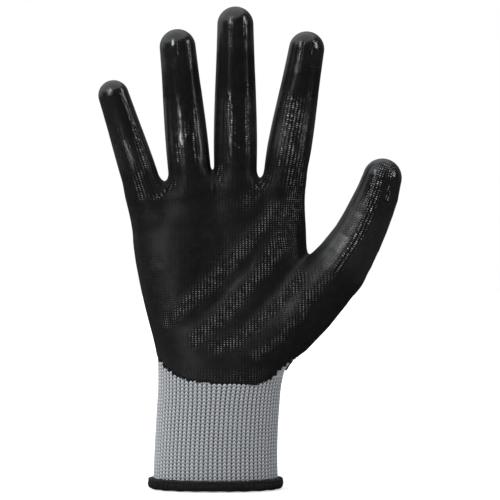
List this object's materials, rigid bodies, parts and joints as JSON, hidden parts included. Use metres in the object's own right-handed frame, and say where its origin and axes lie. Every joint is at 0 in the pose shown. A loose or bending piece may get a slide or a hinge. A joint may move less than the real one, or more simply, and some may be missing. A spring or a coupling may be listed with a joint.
{
  "type": "work glove",
  "caption": "Right-hand knitted work glove with a dipped palm and fingers, a ribbed elastic cuff and an overlocked hem, hollow for a hand and hinged at its creases.",
  "frame": {"origin": "bottom centre of the glove's overall box at rest, on the plane the hem stands on", "axes": "+Z from the cuff to the fingertips, -Y out of the palm, +X towards the thumb side; the fingers curl towards -Y"},
  "size_m": [0.1552, 0.0518, 0.2497],
  "materials": {
    "grey_knit": "matt fine-gauge seamless knit, grey",
    "black_nitrile": "satin dipped film showing the knit beneath, black",
    "black_overlock": "matt textured thread, black",
    "elastic_yarn": "covered rubber yarn, off-white"
  },
  "bodies": {
    "cuff": {"cuff_rib_liner": "grey_knit", "cuff_elastic_yarn": "elastic_yarn", "hem_overlock": "black_overlock"},
    "palm": {"palm_liner": "grey_knit", "palm_coating": "black_nitrile"},
    "knuckles": {"knuckle_liner": "grey_knit", "knuckle_coating": "black_nitrile"},
    "index_base": {"index_base_liner": "grey_knit", "index_base_coating": "black_nitrile"},
    "index_mid": {"index_mid_liner": "grey_knit", "index_mid_coating": "black_nitrile"},
    "index_tip": {"index_tip_liner": "grey_knit", "index_tip_coating": "black_nitrile"},
    "middle_base": {"middle_base_liner": "grey_knit", "middle_base_coating": "black_nitrile"},
    "middle_mid": {"middle_mid_liner": "grey_knit", "middle_mid_coating": "black_nitrile"},
    "middle_tip": {"middle_tip_liner": "grey_knit", "middle_tip_coating": "black_nitrile"},
    "ring_base": {"ring_base_liner": "grey_knit", "ring_base_coating": "black_nitrile"},
    "ring_mid": {"ring_mid_liner": "grey_knit", "ring_mid_coating": "black_nitrile"},
    "ring_tip": {"ring_tip_liner": "grey_knit", "ring_tip_coating": "black_nitrile"},
    "little_base": {"little_base_liner": "grey_knit", "little_base_coating": "black_nitrile"},
    "little_mid": {"little_mid_liner": "grey_knit", "little_mid_coating": "black_nitrile"},
    "little_tip": {"little_tip_liner": "grey_knit", "little_tip_coating": "black_nitrile"},
    "thumb_base": {"thumb_base_liner": "grey_knit", "thumb_base_coating": "black_nitrile"},
    "thumb_tip": {"thumb_tip_liner": "grey_knit", "thumb_tip_coating": "black_nitrile"}
  },
  "joints": [
    {"name": "wrist_bend", "type": "hinge", "parent": "cuff", "child": "palm", "pos_m": [-0.01606, 0.00007, 0.045], "axis": [1, 0, 0], "range_deg": [-25, 25], "stiffness_Nm_per_rad": 0.25},
    {"name": "knuckle_bend", "type": "hinge", "parent": "palm", "child": "knuckles", "pos_m": [-0.01806, -0.00293, 0.138], "axis": [0.9962, 0, 0.0877], "range_deg": [-10, 50], "stiffness_Nm_per_rad": 0.05},
    {"name": "index_base_bend", "type": "hinge", "parent": "knuckles", "child": "index_base", "pos_m": [0.01899, -0.0033, 0.17039], "axis": [0.986, 0, -0.1668], "range_deg": [-15, 45], "stiffness_Nm_per_rad": 0.01},
    {"name": "index_middle_bend", "type": "hinge", "parent": "index_base", "child": "index_mid", "pos_m": [0.02208, -0.00361, 0.18864], "axis": [0.986, 0, -0.1668], "range_deg": [0, 90], "stiffness_Nm_per_rad": 0.005},
    {"name": "index_tip_bend", "type": "hinge", "parent": "index_mid", "child": "index_tip", "pos_m": [0.02608, -0.0043, 0.2123], "axis": [0.986, 0, -0.1668], "range_deg": [0, 54], "stiffness_Nm_per_rad": 0.0025},
    {"name": "middle_base_bend", "type": "hinge", "parent": "knuckles", "child": "middle_base", "pos_m": [-0.00746, -0.00326, 0.173], "axis": [1, 0, 0], "range_deg": [-15, 45], "stiffness_Nm_per_rad": 0.01},
    {"name": "middle_middle_bend", "type": "hinge", "parent": "middle_base", "child": "middle_mid", "pos_m": [-0.00746, -0.00362, 0.194], "axis": [1, 0, 0], "range_deg": [0, 90], "stiffness_Nm_per_rad": 0.005},
    {"name": "middle_tip_bend", "type": "hinge", "parent": "middle_mid", "child": "middle_tip", "pos_m": [-0.00746, -0.0044, 0.222], "axis": [1, 0, 0], "range_deg": [0, 54], "stiffness_Nm_per_rad": 0.0025},
    {"name": "ring_base_bend", "type": "hinge", "parent": "knuckles", "child": "ring_base", "pos_m": [-0.03142, -0.00326, 0.17146], "axis": [0.9949, 0, 0.1011], "range_deg": [-15, 45], "stiffness_Nm_per_rad": 0.01},
    {"name": "ring_middle_bend", "type": "hinge", "parent": "ring_base", "child": "ring_mid", "pos_m": [-0.03329, -0.00356, 0.18987], "axis": [0.9949, 0, 0.1011], "range_deg": [0, 90], "stiffness_Nm_per_rad": 0.005},
    {"name": "ring_tip_bend", "type": "hinge", "parent": "ring_mid", "child": "ring_tip", "pos_m": [-0.03571, -0.00433, 0.21374], "axis": [0.9949, 0, 0.1011], "range_deg": [0, 54], "stiffness_Nm_per_rad": 0.0025},
    {"name": "little_base_bend", "type": "hinge", "parent": "knuckles", "child": "little_base", "pos_m": [-0.05713, -0.00286, 0.1657], "axis": [0.95, 0, 0.3123], "range_deg": [-15, 45], "stiffness_Nm_per_rad": 0.006},
    {"name": "little_middle_bend", "type": "hinge", "parent": "little_base", "child": "little_mid", "pos_m": [-0.06182, -0.00321, 0.17995], "axis": [0.95, 0, 0.3123], "range_deg": [0, 90], "stiffness_Nm_per_rad": 0.003},
    {"name": "little_tip_bend", "type": "hinge", "parent": "little_mid", "child": "little_tip", "pos_m": [-0.06713, -0.00419, 0.1961], "axis": [0.95, 0, 0.3123], "range_deg": [0, 54], "stiffness_Nm_per_rad": 0.0015},
    {"name": "thumb_base_bend", "type": "hinge", "parent": "palm", "child": "thumb_base", "pos_m": [0.04729, -0.01184, 0.12476], "axis": [0.614, -0.5624, -0.5538], "range_deg": [-15, 22], "stiffness_Nm_per_rad": 0.02},
    {"name": "thumb_tip_bend", "type": "hinge", "parent": "thumb_base", "child": "thumb_tip", "pos_m": [0.05951, -0.01607, 0.14519], "axis": [0.6935, -0.5624, -0.4503], "range_deg": [-5, 60], "stiffness_Nm_per_rad": 0.006}
  ],
  "couplings": [
    {"joint": "index_tip_bend", "follows": "index_middle_bend", "ratio": 0.6},
    {"joint": "middle_tip_bend", "follows": "middle_middle_bend", "ratio": 0.6},
    {"joint": "ring_tip_bend", "follows": "ring_middle_bend", "ratio": 0.6},
    {"joint": "little_tip_bend", "follows": "little_middle_bend", "ratio": 0.6}
  ]
}
